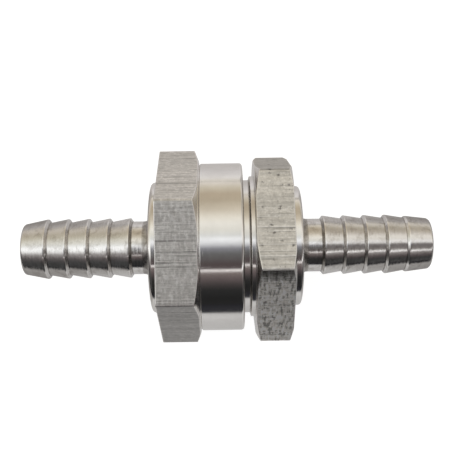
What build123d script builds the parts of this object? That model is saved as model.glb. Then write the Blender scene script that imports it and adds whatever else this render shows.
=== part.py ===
from build123d import *
import math
import os

# In-line non-return valve with a hose tail at each end, for a low-pressure gas or air line.
#
# Two halves turned from hexagon aluminium bar screw together on an M20 x 1 thread. The inlet
# half has a round threaded collar and the conical seat. The outlet half carries the male thread
# and the perforated guide that steers the poppet's stem. A light spring pushes the poppet, with
# its O-ring, onto the seat: flow from the inlet lifts it, flow from the outlet shuts it.
#
# Frame: millimetres, X along the flow from the inlet tip to the outlet tip, Z up, origin on the
# flow axis half-way along the valve. The valve lies on one corner of each hexagon.

os.makedirs("parts", exist_ok=True)

LENGTH = 58.0            # tip to tip

# hexagon bar
HEX_AF = 24.0            # across flats
HEX_EDGE_R = 0.35        # corner radius of the drawn bar
INLET_HEX_TURN = 10.55   # angle of a hexagon corner from +Y about +X, degrees
OUTLET_HEX_TURN = 60 - INLET_HEX_TURN
HEX_CHAMFER_R = 12.35    # radius where a bar-end chamfer starts
OUT_END_CHAMFER_R = 12.70   # the same, at the outlet hexagon's tail end
HEX_CHAMFER_DEG = 21.0
HEX_CHAMFER_CROWN = 0.012   # bulge of the chamfer
HEX_CLEAR = 0.4          # the chamfering outline passes this far outside the corners
HEX_OVERLAP = 0.5        # each hexagon reaches this far into its turned body

# hose tails, for an 8 mm bore hose
BORE_R = 2.5
BORE_CHAMFER = 0.15
TIP_R = 3.6
INLET_TIP_ROUND, OUTLET_TIP_ROUND = 0.38, 0.65
INLET_CREST_R = 4.28
OUTLET_FIRST_CREST_R, OUTLET_CREST_R = 4.00, 4.22
ROOT_R = 3.8
BARBS = 5
BARB_PITCH = 2.96
FIRST_CREST = 3.35       # from the tip to the middle of the first crest
LAND = 0.16              # flat on each crest
DROP = 0.32              # length of a barb's steep back

# stations along X and outside radii
IN_BOSS_X, IN_BOSS_R = -10.65, 9.35
IN_HEX_X0, IN_HEX_X1 = -9.45, -3.85
COLLAR_X1, COLLAR_R = 2.30, 11.95
OUT_RELIEF_X0, OUT_RING_X0 = 2.20, 3.25
OUT_HEX_X0, OUT_HEX_X1 = 3.90, 9.00
OUT_BOSS_X, OUT_BOSS_R = 10.38, 8.55
IN_NECK_FILLET, OUT_NECK_FILLET = 1.30, 1.10   # where each tail meets its boss
RING_R = 10.05
IN_CORE_R = COLLAR_R - 0.5     # turned bodies inside the hexagons
OUT_CORE_R = HEX_AF / 2 - 0.7

# body thread, M20 x 1
PITCH = 1.0
MALE_R, MALE_ROOT_R = 9.93, 9.35
FEMALE_R, FEMALE_ROOT_R = 9.50, 10.05
MALE_ROOT_WIDTH, FEMALE_ROOT_WIDTH = 0.79, 0.755
RIDGE_CREST_WIDTH = 0.12
RIDGE_SINK = 0.08        # the ridge's root runs this far past its cylinder
HALF_FLANK_DEG = 30
THREAD_RELIEF_R = 10.15
THREAD_RING_R = 10.80    # outside of the collar's threaded lining
MALE_RELIEF_R = 9.50
THREAD_X0 = -3.0         # first turn inside the collar
LINING_X0 = THREAD_X0 - 0.65
FEMALE_START_X, FEMALE_TURNS = THREAD_X0 - 0.7, 6.6
NOSE_X = -3.2            # end face of the male spigot, beside the body seal
LIP_X, LIP_R = -4.25, 7.30   # end and outside of the lip inside the seal
FLOOR_X = -4.40          # floor of the collar's counterbore

# valve seat, body seal and poppet
SEAT_X0, SEAT_X1, SEAT_R1 = -8.7, -6.0, 5.2     # 45 degree seat from the bore out to SEAT_R1
CHAMBER_R = 6.6
BODY_SEAL_R, BODY_SEAL_HALF_HEIGHT, BODY_SEAL_GAP = 8.33, 0.82, 0.01
SEAL_SECTION_R, SEAL_R = 0.60, 3.70
SEAL_SEAT_GAP = 0.015
SEAL_GROOVE_HALF = 0.65
POPPET_NOSE_R, POPPET_NOSE_EDGE, NOSE_LAND_R = 2.15, 0.1, 3.45
POPPET_FLANGE_R = 4.5
SPRING_RECESS_R = 2.95
STEM_R, STEM_END_X, STEM_CHAMFER = 1.50, 6.8, 0.4
SHOULDER_R, SHOULDER_X, SHOULDER_CHAMFER = 2.20, 0.99, 0.2

# guide and retaining ring in the outlet half
OUT_CHAMBER_R = 6.2
OUT_CONE_X0, OUT_CONE_X1, OUT_CONE_R = 7.6, 9.2, 5.2   # from the chamber down to the bore
GUIDE_X0, GUIDE_X1, GUIDE_R = 4.40, 6.00, 6.15
GUIDE_CHAMFER = 0.15
HUB_X0, HUB_R, HUB_BORE_R, HUB_CHAMFER = 3.00, 2.60, 1.55, 0.2
FLOW_HOLES, FLOW_HOLE_R, FLOW_HOLE_PCR = 6, 1.10, 4.70
FLOW_HOLE_TURN = 30      # angle of the first hole from +Y, degrees
RING_GROOVE_X0, RING_GROOVE_X1, RING_GROOVE_R = 3.58, GUIDE_X0, 6.75
CLIP_T, CLIP_GAP = 0.78, 0.01
CLIP_R, CLIP_INNER_R, CLIP_INNER_DROP = 6.66, 5.42, 0.18
CLIP_SLOT = 3.0          # width of the opening at the top
LUG_Y, LUG_Z, LUG_R = 2.05, 5.00, 0.85
LUG_WEB_Z, LUG_WEB_WIDTH, LUG_WEB_HEIGHT = 5.45, 1.1, 0.9
LUG_HOLE_Z, LUG_HOLE_R = 4.95, 0.42

# return spring
SPRING_R, WIRE_R = 3.50, 0.25
SPRING_X0, SPRING_X1 = -4.90, GUIDE_X0
WIRE_INSET = 0.10        # from each spring end to the wire's centre
GROUND_GAP = 0.01        # from each spring end to its ground face
COILS, DEAD_COILS = 7.0, 0.9   # in all, and closed at each end
CLOSED_RISE = 2 * WIRE_R * 1.04   # rise per closed coil
BLEND = 0.35             # half the stretch, in coils, over which the rise changes
POINTS_PER_COIL = 16


def turned(points):
    """A solid of revolution about X from (x, radius) points."""
    return revolve(make_face(Polyline(*points, close=True)), axis=Axis.X)


def cylinder(x0, x1, radius):
    return turned([(x0, 0), (x0, radius), (x1, radius), (x1, 0)])


def eased(x, radius, inward, size, cut):
    """An outside corner broken by three points, from the end face at x outwards."""
    return [(x, radius - size), (x + inward * cut, radius - cut), (x + inward * size, radius)]


def tail(side, first_r, crest_r, tip_round):
    """Outside of a hose tail from tip to neck, for side -1 (inlet) or +1 (outlet)."""
    points = []    # (distance from the tip, radius)
    for degrees in (0, 22.5, 45, 67.5, 90):
        a = math.radians(degrees)
        points.append((tip_round * (1 - math.cos(a)), TIP_R - tip_round * (1 - math.sin(a))))
    for k in range(BARBS):
        crest = FIRST_CREST + BARB_PITCH * k
        radius = first_r if k == 0 else crest_r
        land_end = crest + LAND / 2
        points += [(crest - LAND / 2, radius), (land_end, radius), (land_end + DROP, ROOT_R)]
    return [(side * (LENGTH / 2 - distance), radius) for distance, radius in points]


def neck_fillet(side, boss_x, radius):
    """Points of the fillet between a tail's neck and its boss, from the neck outwards."""
    angles = [math.radians(degrees) for degrees in (0, 18, 36, 54, 72, 90)]
    return [
        (boss_x + side * radius * (1 - math.sin(a)), ROOT_R + radius * (1 - math.cos(a)))
        for a in angles
    ]


def hex_sleeve(x0, x1, turn, core_r, chamfer_start=True, end_r=HEX_CHAMFER_R):
    """Hexagon bar, chamfered at the +X end and optionally at the other, bored for its body."""
    section = RegularPolygon(
        radius=HEX_AF / 2, side_count=6, major_radius=False, rotation=turn
    )
    section = fillet(section.vertices(), HEX_EDGE_R)
    bar = extrude(Plane(origin=(x0, 0, 0), x_dir=(0, 1, 0), z_dir=(1, 0, 0)) * section, x1 - x0)
    far = HEX_AF / math.sqrt(3) + HEX_CLEAR
    slope = math.tan(math.radians(HEX_CHAMFER_DEG))
    start_r, start_x = far, x0
    outline = []
    if chamfer_start:
        start_r = HEX_CHAMFER_R
        run = (far - start_r) * slope
        start_x = x0 + run
        middle = (x0 + run / 2 - HEX_CHAMFER_CROWN, (start_r + far) / 2)
        outline.append(ThreePointArc((x0, start_r), middle, (start_x, far)))
    end_run = (far - end_r) * slope
    end_middle = (x1 - end_run / 2 + HEX_CHAMFER_CROWN, (end_r + far) / 2)
    outline += [
        Line((x0, 0), (x0, start_r)),
        Line((start_x, far), (x1 - end_run, far)),
        ThreePointArc((x1 - end_run, far), end_middle, (x1, end_r)),
        Line((x1, end_r), (x1, 0)),
        Line((x1, 0), (x0, 0)),
    ]
    bar = bar & revolve(make_face(outline), axis=Axis.X)
    return bar - cylinder(x0 - 1, x1 + 1, core_r - HEX_OVERLAP)


def thread_ridge(root_r, crest_r, root_width, x0, turns):
    """A helical ridge about X. Its middle passes x0 on the +Y side, which sets its phase."""
    path = Helix(
        pitch=PITCH, height=PITCH * turns, radius=root_r, center=(x0, 0, 0), direction=(1, 0, 0)
    )
    start = path @ 0
    radial = Vector(0, start.Y, start.Z).normalized()
    plane = Plane(origin=(x0, start.Y, start.Z), x_dir=radial, z_dir=path % 0)
    # the flanks run on past root_r so that the ridge joins its cylinder
    half_root = root_width / 2 + RIDGE_SINK * math.tan(math.radians(HALF_FLANK_DEG))
    height, half_crest = crest_r - root_r, RIDGE_CREST_WIDTH / 2
    section = Polyline(
        (-RIDGE_SINK, -half_root), (height, -half_crest),
        (height, half_crest), (-RIDGE_SINK, half_root), close=True,
    )
    return sweep(plane * make_face(section), path=path, is_frenet=True)


def inlet_body():
    body = turned(
        [(-LENGTH / 2, BORE_R + BORE_CHAMFER)]
        + tail(-1, INLET_CREST_R, INLET_CREST_R, INLET_TIP_ROUND)
        + neck_fillet(-1, IN_BOSS_X, IN_NECK_FILLET)
        + eased(IN_BOSS_X, IN_BOSS_R, inward=1, size=0.55, cut=0.16)
        + [
            (IN_HEX_X0, IN_BOSS_R),
            (IN_HEX_X0, IN_CORE_R),
            (IN_HEX_X1 - 0.5, IN_CORE_R),
            (IN_HEX_X1 - 0.5, COLLAR_R - 0.18),
            (IN_HEX_X1 + 0.12, COLLAR_R - 0.18),
            (IN_HEX_X1 + 0.30, COLLAR_R),
        ]
        + eased(COLLAR_X1, COLLAR_R, inward=-1, size=0.42, cut=0.12)[::-1]
        + [
            (COLLAR_X1, THREAD_RING_R),
            (LINING_X0, THREAD_RING_R),
            (LINING_X0, THREAD_RELIEF_R),
            (FLOOR_X, THREAD_RELIEF_R),
            (FLOOR_X, CHAMBER_R),
            (SEAT_X1, CHAMBER_R),
            (SEAT_X1, SEAT_R1),
            (SEAT_X0, BORE_R),
            (-LENGTH / 2 + BORE_CHAMFER, BORE_R),
        ]
    )
    body += hex_sleeve(IN_HEX_X0, IN_HEX_X1, INLET_HEX_TURN, IN_CORE_R, chamfer_start=False)

    # the collar's threaded lining is cut on its own, then joined to the rest of the collar
    lining = turned([
        (LINING_X0, FEMALE_R), (LINING_X0, THREAD_RING_R),
        (COLLAR_X1, THREAD_RING_R), (COLLAR_X1, FEMALE_R),
    ])
    lining -= thread_ridge(
        FEMALE_R, FEMALE_ROOT_R, FEMALE_ROOT_WIDTH, FEMALE_START_X, FEMALE_TURNS
    )
    # lead-in at the mouth, then run-out at the inner end
    inside_r = 9.0
    lining -= turned([
        (COLLAR_X1 + 0.2, inside_r), (COLLAR_X1 + 0.2, FEMALE_ROOT_R + 0.45),
        (COLLAR_X1 - 0.8, FEMALE_ROOT_R - 0.60), (COLLAR_X1 - 0.8, inside_r),
    ])
    lining -= turned([
        (THREAD_X0 - 0.8, inside_r), (THREAD_X0 - 0.8, THREAD_RELIEF_R + 0.15),
        (THREAD_X0, FEMALE_R), (THREAD_X0, inside_r),
    ])
    return body + lining


def outlet_body():
    body = turned(
        [(LENGTH / 2, BORE_R + BORE_CHAMFER)]
        + tail(1, OUTLET_FIRST_CREST_R, OUTLET_CREST_R, OUTLET_TIP_ROUND)
        + neck_fillet(1, OUT_BOSS_X, OUT_NECK_FILLET)
        + eased(OUT_BOSS_X, OUT_BOSS_R, inward=-1, size=0.40, cut=0.12)
        + [
            (OUT_HEX_X1, OUT_BOSS_R),
            (OUT_HEX_X1, OUT_CORE_R),
            (OUT_HEX_X0, OUT_CORE_R),
            (OUT_HEX_X0, RING_R),
            (OUT_RING_X0 + 0.10, RING_R),
            (OUT_RING_X0, RING_R - 0.10),
            # rounded corner into the thread relief
            (OUT_RING_X0, MALE_RELIEF_R + 0.40),
            (OUT_RING_X0 - 0.054, MALE_RELIEF_R + 0.20),
            (OUT_RING_X0 - 0.20, MALE_RELIEF_R + 0.054),
            (OUT_RING_X0 - 0.40, MALE_RELIEF_R),
            (OUT_RELIEF_X0, MALE_RELIEF_R),
            (OUT_RELIEF_X0 - 0.05, MALE_ROOT_R),
            (NOSE_X, MALE_ROOT_R),
            (NOSE_X, LIP_R),
            (LIP_X, LIP_R),
            # chamber, with the retaining ring's groove
            (LIP_X, OUT_CHAMBER_R),
            (RING_GROOVE_X0, OUT_CHAMBER_R),
            (RING_GROOVE_X0, RING_GROOVE_R),
            (RING_GROOVE_X1, RING_GROOVE_R),
            (RING_GROOVE_X1, OUT_CHAMBER_R),
            (GUIDE_X1, OUT_CHAMBER_R),
            (GUIDE_X1, OUT_CONE_R),
            (OUT_CONE_X0, OUT_CONE_R),
            (OUT_CONE_X1, BORE_R),
            (LENGTH / 2 - BORE_CHAMFER, BORE_R),
        ]
    )
    body += hex_sleeve(
        OUT_HEX_X0, OUT_HEX_X1, OUTLET_HEX_TURN, OUT_CORE_R, end_r=OUT_END_CHAMFER_R
    )
    # the male ridge starts a pitch earlier than the female groove, so the two are in phase
    ridge = thread_ridge(
        MALE_ROOT_R, MALE_R, MALE_ROOT_WIDTH, FEMALE_START_X - PITCH, FEMALE_TURNS + 1
    )
    # trims the ridge to the spigot and tapers it at both ends
    envelope = turned([
        (NOSE_X, MALE_ROOT_R - 0.12),
        (NOSE_X, MALE_ROOT_R + 0.05),
        (NOSE_X + 0.60, MALE_R + 0.1),
        (OUT_RELIEF_X0 - 0.55, MALE_R + 0.1),
        (OUT_RELIEF_X0, MALE_ROOT_R + 0.02),
        (OUT_RELIEF_X0, MALE_ROOT_R - 0.12),
    ])
    return body + (ridge & envelope)


def body_o_ring():
    """O-ring squeezed between the spigot's nose and the counterbore's floor."""
    section = Ellipse(
        x_radius=(NOSE_X - FLOOR_X) / 2 - BODY_SEAL_GAP, y_radius=BODY_SEAL_HALF_HEIGHT
    )
    return revolve(Plane.XY * Pos((FLOOR_X + NOSE_X) / 2, BODY_SEAL_R) * section, axis=Axis.X)


# middle of the poppet's O-ring, whose section just touches the 45 degree seat
SEAL_X = SEAL_R - (BORE_R - SEAT_X0) + (SEAL_SECTION_R + SEAL_SEAT_GAP) * math.sqrt(2)


def poppet():
    """Poppet turned from brass bar: nose, seal groove, flange, shoulder and stem."""
    groove_x0, groove_x1 = SEAL_X - SEAL_GROOVE_HALF, SEAL_X + SEAL_GROOVE_HALF
    groove_r = SEAL_R - SEAL_SECTION_R - 0.01
    cone_end_x = groove_x0 - 0.25
    nose_x = cone_end_x - (NOSE_LAND_R - POPPET_NOSE_R) - POPPET_NOSE_EDGE
    return turned([
        (nose_x, 0),
        (nose_x, POPPET_NOSE_R - POPPET_NOSE_EDGE),
        (nose_x + POPPET_NOSE_EDGE, POPPET_NOSE_R),
        (cone_end_x, NOSE_LAND_R),
        (groove_x0 - 0.05, NOSE_LAND_R),
        (groove_x0, NOSE_LAND_R - 0.05),
        (groove_x0, groove_r),
        (groove_x1, groove_r),
        (groove_x1, POPPET_FLANGE_R - 0.2),
        (groove_x1 + 0.2, POPPET_FLANGE_R),
        (SPRING_X0 - 0.1, POPPET_FLANGE_R),
        (SPRING_X0, POPPET_FLANGE_R - 0.1),
        (SPRING_X0, SPRING_RECESS_R),
        (SPRING_X0 + 0.45, SPRING_RECESS_R),
        (SPRING_X0 + 0.65, SPRING_RECESS_R - 0.2),
        (SPRING_X0 + 0.65, SHOULDER_R),
        (SHOULDER_X - SHOULDER_CHAMFER, SHOULDER_R),
        (SHOULDER_X, SHOULDER_R - SHOULDER_CHAMFER),
        (SHOULDER_X, STEM_R),
        (STEM_END_X - STEM_CHAMFER, STEM_R),
        (STEM_END_X, STEM_R - STEM_CHAMFER),
        (STEM_END_X, 0),
    ])


def poppet_o_ring():
    return revolve(Plane.XY * Pos(SEAL_X, SEAL_R) * Circle(SEAL_SECTION_R), axis=Axis.X)


def poppet_guide():
    """A perforated disc with a long hub."""
    c = GUIDE_CHAMFER
    guide = turned([
        (HUB_X0, HUB_BORE_R + c), (HUB_X0, HUB_R - HUB_CHAMFER),
        (HUB_X0 + HUB_CHAMFER, HUB_R), (GUIDE_X0, HUB_R),
        (GUIDE_X0, GUIDE_R - c), (GUIDE_X0 + c, GUIDE_R),
        (GUIDE_X1 - c, GUIDE_R), (GUIDE_X1, GUIDE_R - c),
        (GUIDE_X1, HUB_BORE_R + c), (GUIDE_X1 - c, HUB_BORE_R),
        (HUB_X0 + c, HUB_BORE_R),
    ])
    over = 0.5    # the drill passes this far beyond each face
    for k in range(FLOW_HOLES):
        a = math.radians(360 / FLOW_HOLES * k + FLOW_HOLE_TURN)
        y, z = FLOW_HOLE_PCR * math.cos(a), FLOW_HOLE_PCR * math.sin(a)
        drill = extrude(Circle(FLOW_HOLE_R), GUIDE_X1 - GUIDE_X0 + 2 * over)
        guide -= Plane(origin=(GUIDE_X0 - over, y, z), z_dir=(1, 0, 0)) * drill
    return guide


def guide_retaining_ring():
    """Internal retaining ring, open at the top, with two lugs."""
    clip = Circle(CLIP_R) - Pos(0, -CLIP_INNER_DROP) * Circle(CLIP_INNER_R)
    clip -= Pos(0, 8) * Rectangle(CLIP_SLOT, 8.0)
    for side in (-1, 1):
        y = side * LUG_Y
        clip += Pos(y, LUG_Z) * Circle(LUG_R)
        clip += Pos(y, LUG_WEB_Z) * Rectangle(LUG_WEB_WIDTH, LUG_WEB_HEIGHT)
        clip -= Pos(y, LUG_HOLE_Z) * Circle(LUG_HOLE_R)
    x = GUIDE_X0 - CLIP_GAP - CLIP_T
    return extrude(Plane(origin=(x, 0, 0), x_dir=(0, 1, 0), z_dir=(1, 0, 0)) * clip, CLIP_T)


def spring_x(turn):
    """Axial place of the wire's centre after a number of coils."""
    x_low, x_high = SPRING_X0 + WIRE_INSET, SPRING_X1 - WIRE_INSET
    active = COILS - 2 * DEAD_COILS
    rise = (x_high - x_low - 2 * DEAD_COILS * CLOSED_RISE) / active

    def travelled(u):
        """Axial travel over the first u coils from either end."""
        extra = rise - CLOSED_RISE
        if u <= DEAD_COILS - BLEND:
            return CLOSED_RISE * u
        if u <= DEAD_COILS + BLEND:
            return CLOSED_RISE * u + extra * (u - DEAD_COILS + BLEND) ** 2 / (4 * BLEND)
        return CLOSED_RISE * u + extra * (u - DEAD_COILS)

    if turn <= COILS / 2:
        return x_low + travelled(turn)
    return x_high - travelled(COILS - turn)


def return_spring():
    """Round wire with closed and ground ends."""
    steps = int(COILS * POINTS_PER_COIL)
    points = []
    for i in range(steps + 1):
        turn = COILS * i / steps
        a = 2 * math.pi * turn
        points.append((spring_x(turn), SPRING_R * math.cos(a), SPRING_R * math.sin(a)))
    wire = Spline(*points)
    section = Plane(origin=wire @ 0, z_dir=wire % 0) * Circle(WIRE_R)
    spring = sweep(section, path=wire, is_frenet=True)
    return spring & cylinder(SPRING_X0 + GROUND_GAP, SPRING_X1 - GROUND_GAP, 5)


for build in (
    inlet_body, outlet_body, body_o_ring, poppet, poppet_o_ring,
    poppet_guide, guide_retaining_ring, return_spring,
):
    export_step(build(), f"parts/{build.__name__}.step")
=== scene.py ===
import math
from typing import Any, NamedTuple

import bmesh
import bpy
import numpy as np
from mathutils import Matrix, Vector


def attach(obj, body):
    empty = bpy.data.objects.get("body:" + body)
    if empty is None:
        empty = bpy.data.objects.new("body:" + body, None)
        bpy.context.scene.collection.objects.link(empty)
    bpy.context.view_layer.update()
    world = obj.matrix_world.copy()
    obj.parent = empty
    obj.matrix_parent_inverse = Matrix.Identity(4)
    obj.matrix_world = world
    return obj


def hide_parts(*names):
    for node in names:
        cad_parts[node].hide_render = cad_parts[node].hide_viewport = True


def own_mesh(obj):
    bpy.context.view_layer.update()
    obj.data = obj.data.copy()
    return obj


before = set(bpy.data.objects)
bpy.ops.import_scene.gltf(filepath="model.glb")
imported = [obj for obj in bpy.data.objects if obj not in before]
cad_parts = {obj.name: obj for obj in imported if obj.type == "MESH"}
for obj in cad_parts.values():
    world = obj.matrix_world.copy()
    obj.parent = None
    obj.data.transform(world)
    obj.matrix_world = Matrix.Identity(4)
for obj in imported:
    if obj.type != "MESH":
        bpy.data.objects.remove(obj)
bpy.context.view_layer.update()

MM = 0.001

# ------------------------------------------------------------------ shared sizes
HALF_LENGTH = 29.0
BORE_R = 2.5
TIP_BORE_R = 2.65              # mouth of the bore, opened by its edge break
TIP_BREAK = 0.15               # depth of that edge break
TAIL_R = 3.8                   # tail between its barbs
BARB_COUNT, FIRST_BARB, BARB_PITCH = 5, 3.35, 2.96    # places measured from the tail's tip

HEX_FLAT = 12.0                # axis to flat
HEX_EDGE_R = 0.35
FLAT_COLUMNS, EDGE_COLUMNS = 42, 4
CHAMFER_START_R = 12.35
OUT_END_CHAMFER_R = 12.70
CHAMFER_TAN = math.tan(math.radians(21.0))
INLET_TURN, OUTLET_TURN = 10.55, 49.45    # degrees

PITCH = 1.0
FEMALE_BORE_R = 9.50
MALE_CORE_R = 9.35
THREAD_OVERLAP = 0.10          # how far a helix runs past the surface it meets
FLANK_SPREAD = 0.0577          # half width a helix gains over that overlap
FEMALE_THREAD_X = -3.7
MALE_THREAD_X = FEMALE_THREAD_X - PITCH    # a whole pitch away keeps the threads in phase

SEAT_X, SEAT_R = -6.0, 5.2     # wide end of the 45 degree seat in the inlet
SEAL_R = 3.70                  # middle of the poppet seal's section
SEAL_X = SEAL_R + (SEAT_X - SEAT_R) + 0.615 * math.sqrt(2)    # 0.615 square off the seat
FLANGE_X = -4.90               # poppet flange, the side the spring stands on
GUIDE_X0, GUIDE_X1 = 4.40, 6.00
CLIP_X0, CLIP_X1 = 3.61, 4.39

CAMERA_LEAN = 2.2 - INLET_TURN    # degrees from +Z towards +Y

# Surface kinds, which are also the places in a body's material list
TURNED, FLAT, BORE, THREAD, FACE = range(5)


# ------------------------------------------------------------------ profiles
class Corner(NamedTuple):
    """A profile corner, and the edge that leads to it. x and radius may hold one value a column."""
    x: Any
    radius: Any
    rounding: float = 0.0      # radius of the round-over
    steps: int = 3             # segments in the round-over
    splits: int = 1            # segments along the edge, 0 for no extra rows
    surface: int = TURNED
    inset: float = 0.05        # gap from the edge's ends to its first and last extra row


class Profile(NamedTuple):
    """Rows of (x, radius) for each column angle, with values for each row."""
    angles: np.ndarray
    rows: np.ndarray
    bends: Any = None          # positive on outer corners, negative in inner ones
    surfaces: Any = None
    along: Any = None          # distance walked


def build_profile(corners, angles):
    """Rounds and splits a closed profile.

    The solid lies on the right as the loop is walked: outside towards +X, back through the bore.
    """
    corners = [Corner(*c) for c in corners]
    points = np.zeros((len(corners), len(angles), 2))
    for i, corner in enumerate(corners):
        points[i, :, 0] = corner.x
        points[i, :, 1] = corner.radius
    rounding = np.array([c.rounding for c in corners])[:, None]
    edge_in = points - np.roll(points, 1, 0)
    edge_out = np.roll(points, -1, 0) - points
    len_in = np.maximum(np.linalg.norm(edge_in, axis=2), 1e-6)
    len_out = np.maximum(np.linalg.norm(edge_out, axis=2), 1e-6)
    dir_in, dir_out = edge_in / len_in[..., None], edge_out / len_out[..., None]
    half_turn = np.arccos(np.clip((dir_in * dir_out).sum(2), -1, 1)) / 2
    cross = dir_in[..., 0] * dir_out[..., 1] - dir_in[..., 1] * dir_out[..., 0]
    # A round-over takes less than half of either edge
    room = np.minimum(0.46 * len_in, 0.46 * len_out)
    trim = np.minimum(rounding * np.tan(half_turn), room)[..., None]
    first = points - trim * dir_in
    last = points + trim * dir_out
    rows, bends, surfaces = [], [], []

    def add(row, bend, surface):
        rows.append(row)
        bends.append(bend)
        surfaces.append(surface)

    for i, corner in enumerate(corners):
        start, end = last[i - 1], first[i]
        if corner.splits > 0:
            length = np.maximum(np.linalg.norm(end - start, axis=1), 1e-6)
            inset = np.minimum(corner.inset / length, 0.25)
            for q in range(corner.splits + 1):
                f = (inset + (1 - 2 * inset) * q / corner.splits)[:, None]
                add(start * (1 - f) + end * f, 0.0, corner.surface)
        sign = -np.sign(cross[i].mean())
        if corner.rounding > 0:
            # A rational quadratic curve, which is a true arc
            weight = np.cos(half_turn[i])[:, None]
            for q in range(corner.steps + 1):
                f = q / corner.steps
                a, b, d = (1 - f) ** 2, 2 * f * (1 - f) * weight, f * f
                row = (a * first[i] + b * points[i] + d * last[i]) / (a + b + d)
                add(row, sign * (1.0 if 0 < q < corner.steps else 0.6), corner.surface)
        else:
            add(points[i].copy(), sign, corner.surface)
    rows = np.array(rows)
    step = np.linalg.norm(np.diff(rows.mean(1), axis=0), axis=1)
    along = np.concatenate([[0], np.cumsum(step)])
    return Profile(np.asarray(angles, float), rows, np.array(bends), np.array(surfaces), along)


def swept_points(profile):
    x, r = profile.rows[..., 0], profile.rows[..., 1]
    return np.stack([x, r * np.cos(profile.angles), r * np.sin(profile.angles)], 2)


def even_angles(count):
    return 2 * math.pi * np.arange(count) / count


# ------------------------------------------------------------------ meshes
def link_object(name, mesh):
    ob = bpy.data.objects.new(name, mesh)
    bpy.context.scene.collection.objects.link(ob)
    return ob


def swept_object(name, profile, materials, attributes=None, shift=0.0):
    """A closed quad mesh: the profile's rows close on each other, and so do its columns."""
    n, c = profile.rows.shape[:2]
    points = swept_points(profile) + shift
    i, j = np.meshgrid(np.arange(n), np.arange(c), indexing="ij")
    i2, j2 = (i + 1) % n, (j + 1) % c
    quads = np.stack([i * c + j, i * c + j2, i2 * c + j2, i2 * c + j], 2).reshape(-1, 4)
    mesh = bpy.data.meshes.new(name)
    mesh.vertices.add(n * c)
    mesh.vertices.foreach_set("co", (points * MM).astype(np.float32).ravel())
    mesh.loops.add(quads.size)
    mesh.loops.foreach_set("vertex_index", quads.astype(np.int32).ravel())
    mesh.polygons.add(len(quads))
    mesh.polygons.foreach_set("loop_start", np.arange(0, quads.size, 4, dtype=np.int32))
    mesh.polygons.foreach_set("loop_total", np.full(len(quads), 4, np.int32))
    for key, values in (attributes or {}).items():
        values = np.broadcast_to(values, (n, c)).astype(np.float32).ravel()
        mesh.attributes.new(key, "FLOAT", "POINT").data.foreach_set("value", values)
    for mat in materials:
        mesh.materials.append(mat)
    if len(materials) > 1:
        # The faces after a row belong to the next row's edge
        span = np.roll(profile.surfaces, -1)
        mesh.polygons.foreach_set("material_index", np.repeat(span, c).astype(np.int32))
    mesh.update(calc_edges=True)
    mesh.validate()
    return link_object(name, mesh)


def closed_mesh(name, points, faces, mat):
    """A closed mesh from points and faces, turned so that its faces look out."""
    mesh = bpy.data.meshes.new(name)
    mesh.from_pydata((np.asarray(points, float) * MM).tolist(), [], faces)
    mesh.materials.append(mat)
    mesh.validate()
    mesh.update()
    bm = bmesh.new()
    bm.from_mesh(mesh)
    if bm.calc_volume(signed=True) < 0:
        bmesh.ops.reverse_faces(bm, faces=bm.faces)
        bm.to_mesh(mesh)
    bm.free()
    return link_object(name, mesh)


def solid_round(name, corners, mat, count):
    """A turned solid. Its profile starts and ends beside the axis; a centre point closes each end."""
    profile = build_profile(corners, even_angles(count))
    n, c = profile.rows.shape[:2]
    x = profile.rows[..., 0]
    points = swept_points(profile).reshape(-1, 3).tolist()
    points += [(x[0].mean(), 0.0, 0.0), (x[-1].mean(), 0.0, 0.0)]
    faces = []
    for i in range(n - 1):
        for j in range(c):
            k = (j + 1) % c
            faces.append((i * c + j, i * c + k, (i + 1) * c + k, (i + 1) * c + j))
    for j in range(c):
        k = (j + 1) % c
        faces.append((n * c, k, j))
        faces.append((n * c + 1, (n - 1) * c + j, (n - 1) * c + k))
    ob = closed_mesh(name, points, faces, mat)
    for key, values in (("prof", profile.along), ("conv", profile.bends)):
        values = np.concatenate([np.repeat(values, c), [0.0, 0.0]]).astype(np.float32)
        ob.data.attributes.new(key, "FLOAT", "POINT").data.foreach_set("value", values)
    return ob


def prism(name, outline, x0, x1, mat):
    """A flat outline in (y, z), carried from x0 to x1."""
    n = len(outline)
    points = [(x, y, z) for x in (x0, x1) for y, z in outline]
    faces = [tuple(range(n)), tuple(range(2 * n - 1, n - 1, -1))]
    faces += [(i, n + i, n + (i + 1) % n, (i + 1) % n) for i in range(n)]
    return closed_mesh(name, points, faces, mat)


def disc(y, z, radius, count):
    return [(y + radius * math.cos(t), z + radius * math.sin(t)) for t in even_angles(count)]


def rectangle(y0, y1, z0, z1):
    return [(y0, z0), (y1, z0), (y1, z1), (y0, z1)]


def settle(ob):
    """Applies every modifier to the object's own mesh."""
    graph = bpy.context.evaluated_depsgraph_get()
    graph.update()
    fresh = bpy.data.meshes.new_from_object(
        ob.evaluated_get(graph), preserve_all_data_layers=True, depsgraph=graph)
    old = ob.data
    ob.modifiers.clear()
    ob.data = fresh
    bpy.data.meshes.remove(old)
    fresh.name = ob.name


def combine(target, *tools):
    """Applies (tool, operation) booleans, removes the tools and merges points that coincide."""
    for tool, operation in tools:
        modifier = target.modifiers.new("boolean", "BOOLEAN")
        modifier.operation = operation
        modifier.solver = "MANIFOLD"
        modifier.material_mode = "TRANSFER"
        modifier.object = tool
        settle(target)
        bpy.data.objects.remove(tool)
    bm = bmesh.new()
    bm.from_mesh(target.data)
    bmesh.ops.remove_doubles(bm, verts=bm.verts, dist=0.0001 * MM)
    bm.to_mesh(target.data)
    bm.free()


# ------------------------------------------------------------------ shader nodes
def rgba(colour):
    return (*colour, 1.0) if isinstance(colour, tuple) else colour


def shaded(colour, factor):
    return tuple(min(1.0, factor * c) for c in colour)


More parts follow.
